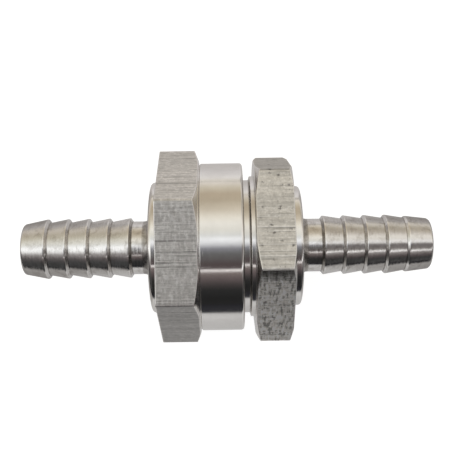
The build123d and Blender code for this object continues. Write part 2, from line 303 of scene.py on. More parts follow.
class Graph:
    """Adds and links the nodes of one material or world."""

    def __init__(self, owner):
        owner.use_nodes = True
        self.tree = owner.node_tree
        self.tree.nodes.clear()

    def node(self, kind, inputs=None, **props):
        made = self.tree.nodes.new(kind)
        for key, value in props.items():
            setattr(made, key, value)
        for key, value in (inputs or {}).items():
            if isinstance(value, bpy.types.NodeSocket):
                self.tree.links.new(value, made.inputs[key])
            else:
                made.inputs[key].default_value = value
        return made

    def math(self, operation, a, b=0.0, c=None, clamp=False):
        inputs = {0: a, 1: b}
        if c is not None:
            inputs[2] = c
        return self.node("ShaderNodeMath", inputs, operation=operation, use_clamp=clamp).outputs[0]

    def plus(self, a, b, clamp=False):
        return self.math("ADD", a, b, clamp=clamp)

    def minus(self, a, b, clamp=False):
        return self.math("SUBTRACT", a, b, clamp=clamp)

    def times(self, a, b):
        return self.math("MULTIPLY", a, b)

    def times_plus(self, a, factor, extra):
        return self.math("MULTIPLY_ADD", a, factor, extra)

    def remap(self, value, span, to=(0.0, 1.0), smooth=False):
        inputs = {"Value": value, "From Min": span[0], "From Max": span[1],
                  "To Min": to[0], "To Max": to[1]}
        kind = "SMOOTHSTEP" if smooth else "LINEAR"
        return self.node("ShaderNodeMapRange", inputs, interpolation_type=kind).outputs[0]

    def mix(self, amount, a, b, blend="MIX"):
        inputs = {0: amount, 6: rgba(a), 7: rgba(b)}
        return self.node("ShaderNodeMix", inputs, data_type="RGBA", blend_type=blend).outputs[2]

    def ramp(self, value, stops):
        """A colour ramp. The first stop's place is its start and the last one's its end."""
        made = self.node("ShaderNodeValToRGB", {"Fac": value})
        elements = made.color_ramp.elements
        start, end = stops[0][0], stops[-1][0]
        for place, _ in stops[1:-1]:
            elements.new((place - start) / (end - start))
        for element, (_, level) in zip(elements, stops):
            element.color = rgba(level)
        return made.outputs[0]

    def vector(self, x, y, z, stretch=(None, None, None)):
        """Joins three values, each multiplied by its stretch unless that is None."""
        parts = [v if s is None else self.times(v, s) for v, s in zip((x, y, z), stretch)]
        return self.node("ShaderNodeCombineXYZ", dict(enumerate(parts))).outputs[0]

    def separate(self, vector):
        return self.node("ShaderNodeSeparateXYZ", {0: vector}).outputs

    def noise(self, place, scale, detail, rough, distortion=0.0):
        inputs = {"Vector": place, "Scale": scale, "Detail": detail, "Roughness": rough,
                  "Distortion": distortion}
        return self.node("ShaderNodeTexNoise", inputs).outputs[0]

    def cells(self, place, scale, channel):
        """Distance to the nearest cell's middle, and one channel of the cell's random colour."""
        inputs = {"Vector": place, "Scale": scale, "Randomness": 1.0}
        made = self.node("ShaderNodeTexVoronoi", inputs, feature="F1")
        split = self.node("ShaderNodeSeparateColor", {0: made.outputs["Color"]})
        return made.outputs["Distance"], split.outputs[channel]

    def attribute(self, name):
        return self.node("ShaderNodeAttribute", attribute_name=name).outputs["Fac"]

    def place_mm(self):
        """Object coordinates in mm."""
        place = self.node("ShaderNodeTexCoord").outputs["Object"]
        inputs = {0: place, 1: (1000.0, 1000.0, 1000.0)}
        return self.node("ShaderNodeVectorMath", inputs, operation="MULTIPLY").outputs[0]

    def bump(self, height, distance, strength=1.0):
        inputs = {"Strength": strength, "Distance": distance, "Height": height}
        return self.node("ShaderNodeBump", inputs).outputs[0]

    def camera_ray(self):
        return self.node("ShaderNodeLightPath").outputs["Is Camera Ray"]

    def surface(self, inputs):
        shader = self.node("ShaderNodeBsdfPrincipled", inputs)
        self.node("ShaderNodeOutputMaterial", {"Surface": shader.outputs[0]})


# ------------------------------------------------------------------ material kinds
def turned_metal(name, base, dull, rough, line=1.0, aniso=0.6):
    """Lathe-turned metal: rings of tool marks, a slow stain, a painted highlight on the outer edges
    and painted shade in the inner corners.
    """
    mat = bpy.data.materials.new(name)
    g = Graph(mat)
    pos = g.place_mm()
    x, y, z = g.separate(pos)
    along = g.attribute("prof")
    conv = g.attribute("conv")

    ringed = g.vector(along, y, z, stretch=(1.0, 0.035, 0.035))
    fine = g.noise(ringed, scale=15.0, detail=4.0, rough=0.62)
    broad = g.noise(ringed, scale=3.4, detail=2.0, rough=0.5)
    slow = g.noise(pos, scale=0.22, detail=3.0, rough=0.6, distortion=0.4)
    speck = g.noise(pos, scale=6.5, detail=2.0, rough=0.7)
    scratched = g.vector(along, y, z, stretch=(0.5, 3.0, 3.0))
    scratch = g.noise(scratched, scale=3.0, detail=3.0, rough=0.6)
    whole = g.vector(x, y, z, stretch=(1.0, None, None))
    grime_and_shade_noise = g.noise(whole, scale=0.9, detail=4.0, rough=0.65, distortion=0.6)

    edge = g.math("MAXIMUM", conv, 0.0)
    pocket = g.math("MAXIMUM", g.times(conv, -1.0), 0.0)
    lines = g.remap(fine, span=(0.32, 0.68))
    radius = g.math("SQRT", g.plus(g.times(y, y), g.times(z, z)))
    on_tail = g.remap(radius, span=(7.0, 5.0))
    tail_grime = g.times(on_tail, g.remap(grime_and_shade_noise, span=(0.48, 0.72), to=(0.0, 0.50)))
    # Painted shade in the inner corners, broken up by a noise and weaker off the tails
    pocket_shade = g.times(
        g.times(pocket, g.times_plus(on_tail, factor=0.65, extra=0.35)),
        g.remap(grime_and_shade_noise, span=(0.35, 0.65), to=(0.45, 0.95)))

    colour = base
    for amount, coat in (
        (g.remap(slow, span=(0.35, 0.70), to=(0.0, 0.5)), dull),
        (g.times(g.minus(1.0, lines), 0.22), dull),
        (tail_grime, (0.36, 0.33, 0.30)),
        (pocket_shade, (0.24, 0.22, 0.20)),
        # painted highlight on the outer edges
        (g.times(edge, 0.5), shaded(base, 1.06)),
        (g.remap(speck, span=(0.70, 0.80), to=(0.0, 0.55)), shaded(dull, 0.55)),
    ):
        colour = g.mix(amount, colour, coat)

    # Rougher on the lines, in the stain and in pockets, smoother on edges
    r = g.plus(g.times(lines, 0.06), rough - 0.03)
    r = g.plus(r, g.times(g.remap(slow, span=(0.4, 0.75)), 0.07))
    r = g.plus(r, g.times(pocket, 0.12))
    r = g.minus(r, g.times(edge, 0.03), clamp=True)

    # Tool marks are coarser on the tails
    coarse = g.times_plus(on_tail, factor=2.2, extra=1.0)
    height = g.times(g.plus(g.times(fine, 0.55), g.times(broad, 1.0)), coarse)
    height = g.plus(height, g.times(g.remap(scratch, span=(0.62, 0.75)), -0.10))
    tangent = g.node("ShaderNodeTangent", direction_type="RADIAL", axis="X")
    g.surface({
        "Base Color": colour, "Metallic": 1.0, "Roughness": r,
        "Anisotropic": aniso, "Anisotropic Rotation": 0.25,
        "Normal": g.bump(height, distance=0.0000105 * line), "Tangent": tangent.outputs[0],
    })
    return mat


def drawn_metal(name, base, dull, rough, pit, line, seed, metal, dark_reflection_level=0.0):
    """The skin of drawn hexagon bar: scores along X with painted highlights on their lips, mottling
    and pits, with more painted light: glints and a dark reflection on flat 1, highlighted edges and a
    brightness for each flat.
    """
    mat = bpy.data.materials.new(name)
    g = Graph(mat)
    x = g.separate(g.place_mm())[0]
    # Each flat reads its own stretch of the textures
    u = g.plus(g.attribute("across"), g.times(g.attribute("flat"), 31.7))
    u = g.plus(u, seed)
    conv = g.attribute("conv")
    low = g.attribute("low")
    tone = g.attribute("tone")

    def skin(layer, along=None, around=None, place=u):
        """A place on the skin, stretched along X and round the bar, in its own noise layer."""
        return g.vector(x, place, layer, stretch=(along, around, None))

    hair = g.noise(skin(0.0, along=0.014), scale=5.5, detail=4.0, rough=0.66)
    short = g.noise(skin(15.0, along=0.07), scale=3.4, detail=2.0, rough=0.62)
    band = g.noise(skin(4.0, along=0.010), scale=0.85, detail=2.0, rough=0.5)
    deep = g.noise(skin(9.0, along=0.008), scale=2.6, detail=0.0, rough=0.5)
    beside = skin(9.0, along=0.008, place=g.plus(u, 0.11))
    lip = g.noise(beside, scale=2.6, detail=0.0, rough=0.5)
    mottle = g.noise(skin(2.0, along=1.0, around=1.35), scale=1.7, detail=6.0, rough=0.72)
    cross = g.noise(skin(21.0, along=2.2, around=0.70), scale=1.25, detail=2.0, rough=0.5)
    dash = g.noise(skin(7.0, along=0.55, around=3.2), scale=1.7, detail=2.0, rough=0.5)
    ragged = g.noise(skin(33.0), scale=4.2, detail=4.0, rough=0.7)

    # Ragged dots and small round specks, only in some of the cells
    distance, chance = g.cells(skin(0.0, along=0.85, around=1.2), scale=0.95, channel=0)
    distance = g.plus(distance, g.times(g.minus(ragged, 0.5), 0.60))
    dot = g.remap(distance, span=(0.05, 0.22), to=(1.0, 0.0), smooth=True)
    dot = g.times(dot, g.times(g.remap(chance, span=(0.35, 0.65)), pit))
    distance, chance = g.cells(skin(5.0), scale=1.9, channel=1)
    speck = g.remap(distance, span=(0.07, 0.20), to=(1.0, 0.0), smooth=True)
    speck = g.times(speck, g.times(g.remap(chance, span=(0.62, 0.80)), pit))

    def broken_score(source):
        gaps = g.remap(short, span=(0.30, 0.60), to=(0.10, 1.0))
        return g.times(g.remap(source, span=(0.65, 0.76)), gaps)

    score = broken_score(deep)
    shine = broken_score(lip)

    # Flat 1 carries most of the dashes and ticks, and all of the glints
    flat_one = g.math("COMPARE", g.attribute("flat"), 1.0, c=0.5)
    knocked = g.times_plus(flat_one, factor=0.85, extra=0.15)
    dashes = g.times(g.remap(dash, span=(0.58, 0.68)), g.times(knocked, pit))
    ticks = g.times(g.remap(cross, span=(0.55, 0.63)), g.times(knocked, pit))
    glints = g.times(
        g.math("MAXIMUM", g.remap(cross, span=(0.44, 0.36)), g.remap(dash, span=(0.42, 0.34))),
        g.times(flat_one, pit))
    edge = g.math("MAXIMUM", conv, 0.0)

    bright = shaded(base, 1.25)
    colour = g.mix(g.remap(band, span=(0.30, 0.70)), base, dull)
    # Marks, mottling and pits, with painted highlights: the shine beside each score and the glints on
    # flat 1
    for mask, strength, coat in (
        (g.remap(hair, span=(0.40, 0.64)), 0.48, shaded(dull, 0.74)),
        (g.remap(short, span=(0.52, 0.66)), 0.55, shaded(dull, 0.60)),
        (g.remap(mottle, span=(0.44, 0.66)), 0.55, shaded(dull, 0.66)),
        (g.remap(mottle, span=(0.46, 0.32)), 0.45, bright),
        (shine, 0.55, bright),
        (score, 0.70, shaded(dull, 0.34)),
        (dashes, 0.40, shaded(dull, 0.36)),
        (ticks, 0.75, shaded(dull, 0.30)),
        (glints, 0.85, shaded(base, 1.5)),
        (dot, 0.72, shaded(dull, 0.26)),
        (speck, 0.60, shaded(dull, 0.22)),
    ):
        colour = g.mix(g.times(mask, strength), colour, coat)
    hollow = g.remap(low, span=(0.012, 0.060), to=(0.0, 0.45))
    colour = g.mix(hollow, colour, shaded(dull, 0.32))
    # Painted light: each flat is made lighter or darker by how the light falls on it
    shade = g.node("ShaderNodeCombineColor", {0: tone, 1: tone, 2: tone})
    colour = g.mix(1.0, colour, shade.outputs[0], blend="MULTIPLY")
    # Painted dark reflection: flat 1 darkens towards its edge with flat 0
    dark_reflection_band = g.remap(g.attribute("across"), span=(-6.6, -4.0), to=(dark_reflection_level, 0.0), smooth=True)
    colour = g.mix(g.times(flat_one, dark_reflection_band), colour, (0.0, 0.0, 0.0))
    # Painted highlight on the hexagon's rounded edges
    colour = g.mix(g.times(edge, 0.80), colour, bright)

    r = g.plus(rough, g.times(g.remap(hair, span=(0.3, 0.7)), 0.10))
    r = g.minus(r, g.times(edge, 0.14))
    r = g.plus(r, g.times(dot, 0.15), clamp=True)

    height = g.plus(g.times(hair, 0.9), g.times(band, 1.0))
    # Relief weights, negative where a mark is sunk
    for mask, weight in (
        (short, 0.35), (score, -0.35), (dashes, -0.25), (ticks, -0.15),
        (dot, -1.2), (speck, -0.5), (mottle, 0.35),
    ):
        join = g.minus if weight < 0 else g.plus
        height = join(height, g.times(mask, abs(weight)))
    g.surface({
        "Base Color": colour, "Metallic": metal, "Roughness": r,
        "Normal": g.bump(height, distance=0.000026 * line), "Specular IOR Level": 0.4,
    })
    return mat


def dusty_rubber(name):
    mat = bpy.data.materials.new(name)
    g = Graph(mat)
    pos = g.place_mm()
    skin = g.noise(pos, scale=3.0, detail=4.0, rough=0.6)
    dust = g.noise(pos, scale=0.8, detail=3.0, rough=0.6)
    dusty = g.remap(dust, span=(0.45, 0.75), to=(0.0, 0.6))
    g.surface({
        "Base Color": g.mix(dusty, (0.013, 0.013, 0.014), (0.045, 0.044, 0.042)),
        "Roughness": g.remap(skin, span=(0.3, 0.7), to=(0.38, 0.55)),
        "Normal": g.bump(skin, distance=0.00001, strength=0.6), "Specular IOR Level": 0.45,
    })
    return mat


# ------------------------------------------------------------------ materials
ALU, ALU_DULL = (0.810, 0.800, 0.790), (0.640, 0.625, 0.610)
CUT_DULL = (0.50, 0.485, 0.465)
inlet_turned = turned_metal("inlet_turned_aluminium", ALU, ALU_DULL, rough=0.10)
inlet_drawn = drawn_metal(
    "inlet_drawn_flats", (0.73, 0.715, 0.70), (0.60, 0.59, 0.575),
    rough=0.44, pit=0.30, line=1.0, seed=3.0, metal=0.92)
outlet_turned = turned_metal("outlet_turned_aluminium", ALU, ALU_DULL, rough=0.10)
outlet_drawn = drawn_metal(
    "outlet_drawn_flats", (0.87, 0.85, 0.815), (0.68, 0.665, 0.635),
    rough=0.47, pit=1.0, line=1.1, seed=57.0, metal=0.84, dark_reflection_level=0.80)
bored_alu = turned_metal(
    "bored_aluminium", (0.74, 0.72, 0.70), CUT_DULL, rough=0.20, line=1.6, aniso=0.4)
thread_alu = turned_metal(
    "threaded_aluminium", (0.76, 0.74, 0.715), CUT_DULL, rough=0.18, line=0.8, aniso=0.3)
faced_alu = turned_metal("faced_aluminium", (0.80, 0.78, 0.755), ALU_DULL, rough=0.13, line=1.3)
brass = turned_metal(
    "turned_brass", (0.86, 0.62, 0.28), (0.55, 0.37, 0.15), rough=0.15, line=0.9)
clip_steel = turned_metal(
    "phosphated_clip_steel", (0.20, 0.20, 0.205), (0.10, 0.10, 0.10),
    rough=0.34, line=0.6, aniso=0.0)
spring_steel = turned_metal(
    "drawn_spring_wire", (0.66, 0.66, 0.65), (0.42, 0.42, 0.41), rough=0.18, line=0.4, aniso=0.0)
nitrile = dusty_rubber("nitrile_rubber")


# ------------------------------------------------------------------ hexagon bar
class HexColumns(NamedTuple):
    angles: np.ndarray
    radii: np.ndarray
    across: np.ndarray         # place across the flat, 0 in its middle
    flat: np.ndarray           # the flat's number
    normals: np.ndarray        # the angle the flat faces


def hex_columns(turn):
    """The columns round a hexagon with rounded edges."""
    edge_centre = (HEX_FLAT - HEX_EDGE_R) / math.cos(math.radians(30))
    reach = edge_centre * math.sin(math.radians(30))
    columns = []
    for flat in range(6):
        middle = math.radians(turn + 30 + 60 * flat)
        for q in range(FLAT_COLUMNS):
            u = -reach + 2 * reach * q / FLAT_COLUMNS
            angle = middle + math.atan2(u, HEX_FLAT)
            columns.append((angle, math.hypot(u, HEX_FLAT), u, flat, middle))
        for q in range(EDGE_COLUMNS):
            a = math.radians(-30 + 60 * q / EDGE_COLUMNS)
            out = edge_centre + HEX_EDGE_R * math.cos(a)
            side = HEX_EDGE_R * math.sin(a)
            angle = middle + math.radians(30) + math.atan2(side, out)
            u = reach + 0.12 * q / EDGE_COLUMNS
            columns.append((angle, math.hypot(out, side), u, flat, middle))
    angles, radii, across, flats, normals = (np.array(c) for c in zip(*columns))
    return HexColumns(angles, radii, across, flats, normals)


def hex_end(radii, start_r=CHAMFER_START_R):
    """Where the end face stops, and how far the chamfer runs along X, for each column."""
    start = np.minimum(start_r, radii - 0.09)
    return start, (radii - start) * CHAMFER_TAN


def wander(values, scale, seed):
    """Smooth seeded noise of one variable, roughly -1 to 1, in three octaves."""
    rng = np.random.default_rng(seed)
    out = np.zeros_like(values, float)
    amount, total = 1.0, 0.0
    for _ in range(3):
        table = rng.uniform(-1, 1, 4096)
        v = values * scale
        i = np.floor(v).astype(int)
        f = v - i
        f = f * f * (3 - 2 * f)
        out += amount * (table[i % 4096] * (1 - f) + table[(i + 1) % 4096] * f)
        total += amount
        amount, scale = amount * 0.55, scale * 2.1
    return out / total


def drawn_relief(profile, columns, seed, pits, depth):
    """How far the bar's skin lies below the true flat: waviness, scores along X and pits."""
    rng = np.random.default_rng(seed)
    x = profile.rows[..., 0]
    low = np.zeros(x.shape)
    u = columns.across[None, :]
    for flat in range(6):
        wave = wander(np.broadcast_to(u, x.shape), scale=1.1, seed=seed + flat)
        d = 0.35 * depth * (1 + wave) / 2
        d = d + 0.10 * depth * wander(x + 9 * flat, scale=0.7, seed=seed + 50 + flat)
        for _ in range(2):
            place = rng.uniform(-6.5, 6.5)
            width = rng.uniform(0.28, 0.50)
            # One score in five stands proud
            deep = depth * rng.uniform(0.35, 1.0) * (1 if rng.uniform() < 0.8 else -0.5)
            start, end = rng.uniform(-12, 3), rng.uniform(2, 12)
            if rng.uniform() < 0.55:
                start, end = -20, 20    # past both ends of the flat
            fade = 1 / (1 + np.exp(-(x - start) * 4)) / (1 + np.exp((x - end) * 4))
            drift = place + 0.02 * (x - 3) * rng.uniform(-1, 1)
            d = d + deep * fade * np.exp(-((u - drift) / width) ** 2)
        for _ in range(pits):
            pit_x, pit_u = rng.uniform(x.min(), x.max()), rng.uniform(-6.3, 6.3)
            wide, long = rng.uniform(0.20, 0.32), rng.uniform(0.20, 0.6)
            dip = np.exp(-(((u - pit_u) / wide) ** 2) - ((x - pit_x) / long) ** 2)
            d = d + rng.uniform(1.0, 2.4) * depth * dip
        low = np.where((columns.flat == flat)[None, :], d, low)
    # Nothing on the hexagon's edges, nor off the flats
    inside = np.clip((6.78 - np.abs(u)) / 0.35, 0, 1)
    on_flat = (profile.surfaces == FLAT).astype(float)[:, None]
    return np.clip(low, -0.4 * depth, None) * inside * on_flat


def hex_body(name, columns, corners, turned, drawn, painted_flat_light, **relief):
    """A half's body, with a painted brightness for each flat, lighter or darker by how the light
    falls on it.
    """
    profile = build_profile(corners, columns.angles)
    low = drawn_relief(profile, columns, **relief)
    shift = np.stack([
        np.zeros(low.shape), -low * np.cos(columns.normals), -low * np.sin(columns.normals)], 2)
    attributes = {
        "tone": np.asarray(painted_flat_light)[columns.flat][None, :],
        "prof": profile.along[:, None],
        "conv": profile.bends[:, None],
        "across": columns.across[None, :],
        "flat": columns.flat[None, :].astype(float),
        "low": low,
    }
    materials = [turned, drawn, bored_alu, thread_alu, faced_alu]
    return swept_object(name, profile, materials, attributes, shift)


def tail_corners(side, first_r, crest_r, tip_rounding):
    """The barbed tail's outside, walked towards +X. side is -1 for the inlet, +1 for the outlet."""
    # distance from the tip, radius, rounding, steps, splits of the edge on the tip's side
    outline = [(0.0, 3.6, tip_rounding, 6, 2)]
    for k in range(BARB_COUNT):
        crest = FIRST_BARB + BARB_PITCH * k
        r = crest_r if k else first_r
        outline += [
            (crest - 0.07, r, 0.16, 3, 6 if k else 7),
            (crest + 0.08, r, 0.09, 3, 0),
            (crest + 0.40, TAIL_R, 0.16, 3, 1),
        ]
    if side > 0:
        # Walked backwards, each edge's splits belong to the corner at its other end
        splits = [point[4] for point in outline[1:]] + [4]
        outline = [(*point[:4], count) for point, count in zip(outline, splits)][::-1]
    return [(side * (HALF_LENGTH - point[0]), *point[1:]) for point in outline]


def helix(name, angles, x_first, turns, half_root, r_root, r_crest):
    """A closed helical ridge. Its middle passes x_first on the +Y side."""
    half_crest = 0.06
    c = len(angles)
    base = np.sort(np.mod(angles, 2 * math.pi))
    total = int(round(turns * c))
    section = ((-half_root, r_root), (-half_crest, r_crest),
               (half_crest, r_crest), (half_root, r_root))
    points = []
    for q in range(total + 1):
        lap, j = divmod(q, c)
        a = base[j] + 2 * math.pi * lap
        x = x_first + PITCH * a / (2 * math.pi)
        points += [(x + dx, r * math.cos(a), r * math.sin(a)) for dx, r in section]
    faces = []
    for q in range(total):
        for k in range(4):
            a, b = 4 * q + k, 4 * q + (k + 1) % 4
            faces.append((a, b, b + 4, a + 4))
    end = 4 * total
    faces += [(3, 2, 1, 0), (end, end + 1, end + 2, end + 3)]
    return closed_mesh(name, points, faces, thread_alu)


# ------------------------------------------------------------------ the two halves
# Corner columns: x, radius, rounding, steps, splits, surface, inset
def make_inlet():
    columns = hex_columns(INLET_TURN)
    start, run = hex_end(columns.radii)
    hex_x0, hex_x1 = -9.45, -3.85
    corners = [
        (-HALF_LENGTH + TIP_BREAK, BORE_R, 0.05, 2, 3, BORE),
        (-HALF_LENGTH, TIP_BORE_R, 0.05, 2, 1, BORE),
        *tail_corners(-1, first_r=4.28, crest_r=4.28, tip_rounding=0.38),
        # neck and collar
        (-10.65, TAIL_R, 1.30, 8, 4),
        (-10.65, 9.35, 0.50, 6, 8, FACE),
        (hex_x0, 9.35, 0.14, 3, 3),
        # hexagon
        (hex_x0, columns.radii, 0.09, 3, 6, FACE),
        (hex_x1 - run, columns.radii, 0.10, 3, 24, FLAT, 0.06),
        (hex_x1, start, 0.10, 3, 2, FACE, 0.02),
        # round skirt
        (hex_x1, 11.77, 0.05, 2, 1, FACE, 0.02),
        (-3.69, 11.77, 0.05, 2, 1),
        (-3.55, 11.95, 0.08, 3, 1),
        (2.30, 11.95, 0.42, 6, 14),
        # threaded bore and its relief
        (2.30, 10.29, 0.08, 2, 3, FACE),
        (1.548, FEMALE_BORE_R, 0.0, 0, 2, THREAD),
        (-3.0, FEMALE_BORE_R, 0.0, 0, 0, THREAD),
        (-3.65, 10.15, 0.0, 0, 1, THREAD),
        (-4.40, 10.15, 0.12, 2, 1, BORE),
        # counterbore and seat
        (-4.40, 6.6, 0.10, 2, 3, FACE),
        (SEAT_X, 6.6, 0.12, 2, 2, BORE),
        (SEAT_X, SEAT_R, 0.06, 2, 1, FACE),
        (SEAT_X - (SEAT_R - BORE_R), BORE_R, 0.20, 3, 3, BORE),
    ]
    body = hex_body(
        "inlet_half_turned", columns, corners, inlet_turned, inlet_drawn,
        # painted brightness of each flat, for how the light falls on it
        painted_flat_light=(1.13, 1.00, 0.80, 1.02, 0.94, 1.06), seed=11, pits=2, depth=0.012)
    cut = helix(
        "female_cut", columns.angles, FEMALE_THREAD_X, turns=6.6,
        half_root=0.3775 + FLANK_SPREAD, r_root=FEMALE_BORE_R - THREAD_OVERLAP, r_crest=10.05)
    combine(body, (cut, "DIFFERENCE"))
    return body


def make_outlet():
    columns = hex_columns(OUTLET_TURN)
    start, run = hex_end(columns.radii)
    end_start, end_run = hex_end(columns.radii, OUT_END_CHAMFER_R)
    hex_x0, hex_x1 = 3.90, 9.00
    chamber_r = 6.2
    corners = [
        # spigot and male thread
        (-4.25, chamber_r, 0.08, 2, 3, BORE),
        (-4.25, 7.30, 0.08, 2, 1, FACE),
        (-3.2, 7.30, 0.06, 2, 1),
        (-3.2, MALE_CORE_R, 0.0, 0, 2, FACE),
        (2.15, MALE_CORE_R, 0.0, 0, 0, THREAD),
        (2.20, 9.50, 0.03, 2, 0, THREAD),
        (3.25, 9.50, 0.40, 6, 2),
        (3.25, 10.05, 0.11, 3, 1, FACE, 0.02),
        (hex_x0, 10.05, 0.09, 3, 3, TURNED, 0.04),
        # hexagon
        (hex_x0, start, 0.10, 3, 4, FACE),
        (hex_x0 + run, columns.radii, 0.10, 3, 2, FACE, 0.02),
        (hex_x1 - end_run, columns.radii, 0.10, 3, 24, FLAT, 0.06),
        (hex_x1, end_start, 0.10, 3, 2, FACE, 0.02),
        # collar and neck
        (hex_x1, 8.55, 0.12, 3, 6, FACE),
        (10.38, 8.55, 0.40, 5, 5),
        (10.38, TAIL_R, 1.10, 8, 5, FACE),
        *tail_corners(1, first_r=4.00, crest_r=4.22, tip_rounding=0.65),
        (HALF_LENGTH, TIP_BORE_R, 0.05, 2, 1, FACE),
        (HALF_LENGTH - TIP_BREAK, BORE_R, 0.05, 2, 1, BORE),
        # bore, guide shoulder and circlip groove
        (9.2, BORE_R, 0.25, 3, 3, BORE),
        (7.6, 5.2, 0.20, 3, 2, BORE),
        (GUIDE_X1, 5.2, 0.06, 2, 1, BORE),
        (GUIDE_X1, chamber_r, 0.06, 2, 1, FACE),
        (GUIDE_X0, chamber_r, 0.03, 1, 1, BORE),
        (GUIDE_X0, 6.75, 0.04, 2, 1, FACE),
        (3.58, 6.75, 0.04, 2, 1, BORE),
        (3.58, chamber_r, 0.04, 2, 1, FACE),
    ]
    body = hex_body(
        "outlet_half_turned", columns, corners, outlet_turned, outlet_drawn,
        # painted brightness of each flat, for how the light falls on it
        painted_flat_light=(1.03, 1.30, 1.04, 0.96, 1.08, 0.76), seed=29, pits=10, depth=0.015)
    ridge = helix(
        "male_ridge", columns.angles, MALE_THREAD_X, turns=7.6,
        half_root=0.395 + FLANK_SPREAD, r_root=MALE_CORE_R - THREAD_OVERLAP, r_crest=9.93)
    # The ridge is cut to length by a ring with sloping ends
    ring = [(-3.19, 9.23), (-3.19, 9.40), (-2.60, 10.03), (1.65, 10.03), (2.19, 9.37), (2.19, 9.23)]
    envelope = swept_object("ridge_envelope", build_profile(ring, columns.angles), [thread_alu])
    combine(ridge, (envelope, "INTERSECT"))
    combine(body, (ridge, "UNION"))
    return body


# ------------------------------------------------------------------ small parts
def seal_ring(name, x, r, half_x, half_r, columns, flash=0.0):
    """A moulded ring of oval section. flash is the height of the mould line round its outside."""
    t = even_angles(36)
    rows = np.zeros((len(t), columns, 2))
    line = flash * np.exp(-((np.cos(t)) / 0.06) ** 2) * (np.sin(t) > 0)
    rows[..., 0] = (x - half_x * np.cos(t))[:, None]
    rows[..., 1] = (r + half_r * np.sin(t) + line)[:, None]
    return swept_object(name, Profile(even_angles(columns), rows), [nitrile])


def make_poppet():
    """The poppet, from its nose at -X to the end of its stem."""
    groove_x0, groove_x1 = SEAL_X - 0.65, SEAL_X + 0.65
    groove_r = SEAL_R - 0.60 - 0.01
    nose = groove_x0 - 0.25 - 1.30 - 0.1
    lip_r, flange_r, boss_r, spacer_r, stem_r = 3.45, 4.5, 2.95, 2.20, 1.50
    corners = [
        (nose + 0.10, 0.30, 0.05, 2, 1, FACE),
        (nose, 0.42, 0.04, 2, 1, FACE),
        (nose, 2.10, 0.10, 3, 4, FACE),
        (groove_x0 - 0.25, lip_r, 0.12, 4, 5),
        (groove_x0, lip_r, 0.07, 2, 1),
        (groove_x0, groove_r, 0.12, 3, 2, FACE),
        (groove_x1, groove_r, 0.12, 3, 3),
        (groove_x1, flange_r, 0.18, 4, 4, FACE),
        (FLANGE_X, flange_r, 0.10, 3, 3),
        (FLANGE_X, boss_r, 0.05, 2, 4, FACE),
        (-4.25, boss_r - 0.05, 0.20, 4, 2),
        (-4.25, spacer_r, 0.08, 3, 2, FACE),
        (0.99, spacer_r, 0.18, 4, 14),
        (0.99, stem_r, 0.08, 3, 2, FACE),
        (6.8, stem_r, 0.35, 5, 14),
        (6.8, 0.42, 0.04, 2, 2, FACE),
        (6.72, 0.30, 0.03, 2, 1, FACE),
    ]
    return solid_round("poppet_plug", corners, brass, 120)


def make_guide():
    """A disc with a hub for the poppet's stem and six flow holes."""
    hub_x, hub_r, disc_r, hole_r = 3.0, 2.60, 6.15, 1.55
    corners = [
        (hub_x, 1.68, 0.05, 2, 1, FACE),
        (hub_x, hub_r, 0.18, 4, 3, FACE),
        (GUIDE_X0, hub_r, 0.12, 3, 4),
        (GUIDE_X0, disc_r, 0.14, 3, 10, FACE),
        (GUIDE_X1, disc_r, 0.14, 3, 4),
        (GUIDE_X1, 1.70, 0.05, 2, 12, FACE),
        (GUIDE_X1 - 0.15, hole_r, 0.04, 2, 1),
        (hub_x + 0.15, hole_r, 0.04, 2, 5, BORE),
    ]
    profile = build_profile(corners, even_angles(144))
    attributes = {"prof": profile.along[:, None], "conv": profile.bends[:, None]}
    guide = swept_object("stem_guide_disc", profile, [brass], attributes)
    # A drill that widens where it passes each face
    drill = [
        (4.0, 0.05, 0.0, 0, 0), (4.0, 1.62), (4.55, 1.10),
        (5.85, 1.10, 0.0, 0, 3), (6.4, 1.62), (6.4, 0.05, 0.0, 0, 0),
    ]
    ring_r = 4.70
    for k in range(6):
        a = math.radians(60 * k + 30)
        tool = solid_round("flow_hole", drill, brass, 48)
        place = (0, ring_r * math.cos(a) * MM, ring_r * math.sin(a) * MM)
        tool.data.transform(Matrix.Translation(place))
        combine(guide, (tool, "DIFFERENCE"))
    return guide


def make_circlip():
    """A flat ring with a gap and two eyed lugs on its +Z side, thinnest there."""
    angles = even_angles(168)
    outer_r, inner_r, offset = 6.66, 5.42, -0.18    # the inner circle's middle is off the axis
    inner = offset * np.sin(angles) + np.sqrt(inner_r ** 2 - (offset * np.cos(angles)) ** 2)
    outline = [(CLIP_X0, inner), (CLIP_X0, outer_r), (CLIP_X1, outer_r), (CLIP_X1, inner)]
    clip = swept_object("guide_circlip", build_profile(outline, angles), [clip_steel])

    def plate(name, shape):
        return prism(name, shape, CLIP_X0, CLIP_X1, clip_steel)

    def cutter(name, shape):
        return prism(name, shape, 3.0, 5.0, clip_steel)

    combine(clip, (cutter("gap", rectangle(-1.5, 1.5, 4.0, 12.0)), "DIFFERENCE"))
    for side in (-1, 1):
        y = 2.05 * side
        combine(
            clip,
            (plate("lug", disc(y, 5.00, radius=0.85, count=40)), "UNION"),
            (plate("neck", rectangle(y - 0.55, y + 0.55, 5.0, 5.9)), "UNION"),
            (cutter("eye", disc(y, 4.95, radius=0.42, count=28)), "DIFFERENCE"))
    bevel = clip.modifiers.new("rounded_edges", "BEVEL")
    bevel.width = 0.055 * MM
    bevel.segments = 2
    bevel.limit_method = "ANGLE"
    bevel.angle_limit = math.radians(40)
    bevel.harden_normals = False
    settle(clip)
    return clip


